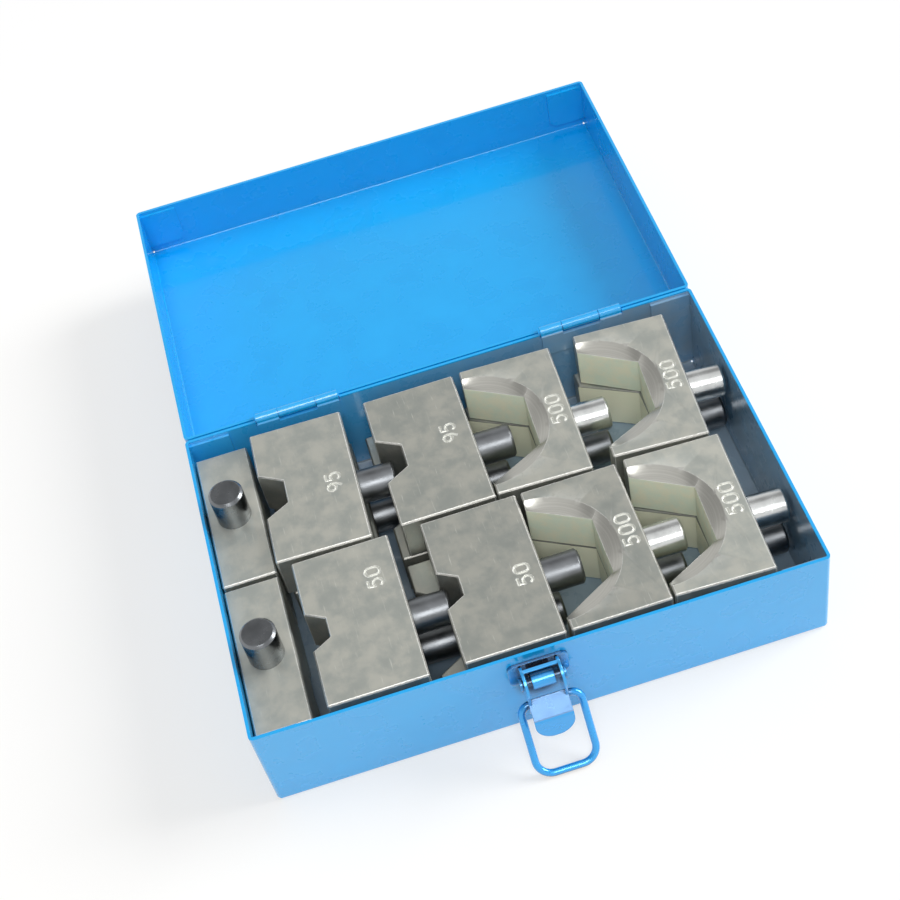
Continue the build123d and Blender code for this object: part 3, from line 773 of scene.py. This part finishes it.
def table_material():
    """A matt white top that glows as white as the background further out."""
    material, tree, out = new_material("white_table")
    place = add(tree, "ShaderNodeTexCoord")
    reach = add(tree, "ShaderNodeVectorMath", {"operation": "LENGTH"}, i0=(place, "Object"))
    away = ramp(tree, (reach, "Value"), SHADOW_REACH, WHITE_REACH)
    lift = add(tree, "ShaderNodeMapRange", Value=(away, 0), To_Min=TABLE_GLOW, To_Max=1.0)
    glow = add(tree, "ShaderNodeMath", {"operation": "MULTIPLY"}, i0=(seen_or_mirrored(tree), 0),
               i1=(lift, 0))
    top = add(tree, "ShaderNodeBsdfDiffuse", Color=linear(TABLE_WHITE))
    white = add(tree, "ShaderNodeEmission", Color=(1, 1, 1, 1), Strength=1.0)
    mix = add(tree, "ShaderNodeMixShader", Fac=(glow, 0), i1=(top, 0), i2=(white, 0))
    tree.links.new(mix.outputs[0], out.inputs["Surface"])
    return material


bpy.ops.mesh.primitive_plane_add(size=TABLE_SIZE, location=(0, 0, 0))
table = bpy.context.object
table.name = "table"
finish_with(table, table_material())
print("table", TABLE_SIZE, "m wide, white from", WHITE_REACH, "m")

# %% [markdown]
# The photograph was lit from low on the right, which leaves the right end of the lid and of the
# case in soft shade, and from near the camera, which reaches down into the mouths of the dies. Two
# wide sun lamps and a white world do the same. What the camera sees behind the table is plain
# white. What the metal and the enamel mirror is that white too, low down and straight above, and
# a quieter grey ceiling between.

# %% Light
WORLD_LIGHT = 0.45
CEILING = 0.42
CEILING_FROM = 0.45
CEILING_TO = 0.70
OVERHEAD_FROM = 0.85
OVERHEAD_TO = 0.94
RIGHT = {"aim": (-1.25, -0.10, -0.78), "power": 2.3, "spread": 30}
FRONT = {"aim": (0.05, 0.72, -1.08), "power": 1.15, "spread": 25}


def sun(name, aim, power, spread):
    """A sun lamp that shines along aim, as soft as its spread in degrees."""
    lamp = bpy.data.lights.new(name, "SUN")
    lamp.energy = power
    lamp.angle = math.radians(spread)
    in_scene(name, lamp).rotation_euler = Vector(aim).to_track_quat("-Z", "Y").to_euler()


def white_world():
    """Even white light, with a grey ceiling for what mirrors it."""
    world = bpy.data.worlds.new("light_tent")
    bpy.context.scene.world = world
    world.use_nodes = True
    tree = world.node_tree
    tree.nodes.clear()
    out = tree.nodes.new("ShaderNodeOutputWorld")
    way = add(tree, "ShaderNodeTexCoord")
    split = add(tree, "ShaderNodeSeparateXYZ", Vector=(way, "Generated"))
    height = ramp(tree, (split, "Z"), CEILING_FROM, CEILING_TO)
    lower = add(tree, "ShaderNodeMapRange", Value=(height, 0), To_Min=1.0, To_Max=CEILING)
    overhead = ramp(tree, (split, "Z"), OVERHEAD_FROM, OVERHEAD_TO)
    mirrored = add(tree, "ShaderNodeMath", {"operation": "MAXIMUM"}, i0=(lower, 0),
                   i1=(overhead, 0))
    strength = add(tree, "ShaderNodeMapRange", Value=(seen_or_mirrored(tree), 0),
                   To_Min=WORLD_LIGHT, To_Max=(mirrored, 0))
    sky = add(tree, "ShaderNodeBackground", Color=(1, 1, 1, 1), Strength=(strength, 0))
    tree.links.new(sky.outputs[0], out.inputs["Surface"])


sun("right_softbox", **RIGHT)
sun("front_fill", **FRONT)
white_world()
print("suns of", RIGHT["power"], "and", FRONT["power"], "W/m2, world", WORLD_LIGHT)

# %% [markdown]
# The camera looks down on the open case from the front, a little rolled, as a hand-held one is.
# Its place and lens were worked out from the corners of the case, whose real size is known.

# %% Camera
CAMERA_AT = (-0.0329, -0.3247, 0.4574)
LOOK_AT = (-0.0052, 0.0378, 0.0200)
CAMERA_ROLL = -13.8  # degrees
SENSOR_MM = 36
FOCAL_PIXELS = 1658
PHOTO_PIXELS = 900

camera = in_scene("camera", bpy.data.cameras.new("camera"))
camera.data.sensor_width = SENSOR_MM
camera.data.lens = SENSOR_MM * FOCAL_PIXELS / PHOTO_PIXELS
camera.location = CAMERA_AT
aim = (Vector(LOOK_AT) - Vector(CAMERA_AT)).to_track_quat("-Z", "Y")
camera.rotation_euler = (aim @ Quaternion((0, 0, 1), math.radians(CAMERA_ROLL))).to_euler()
bpy.context.scene.camera = camera
bpy.context.scene.view_settings.view_transform = "Standard"
print("lens", round(camera.data.lens, 1), "mm")
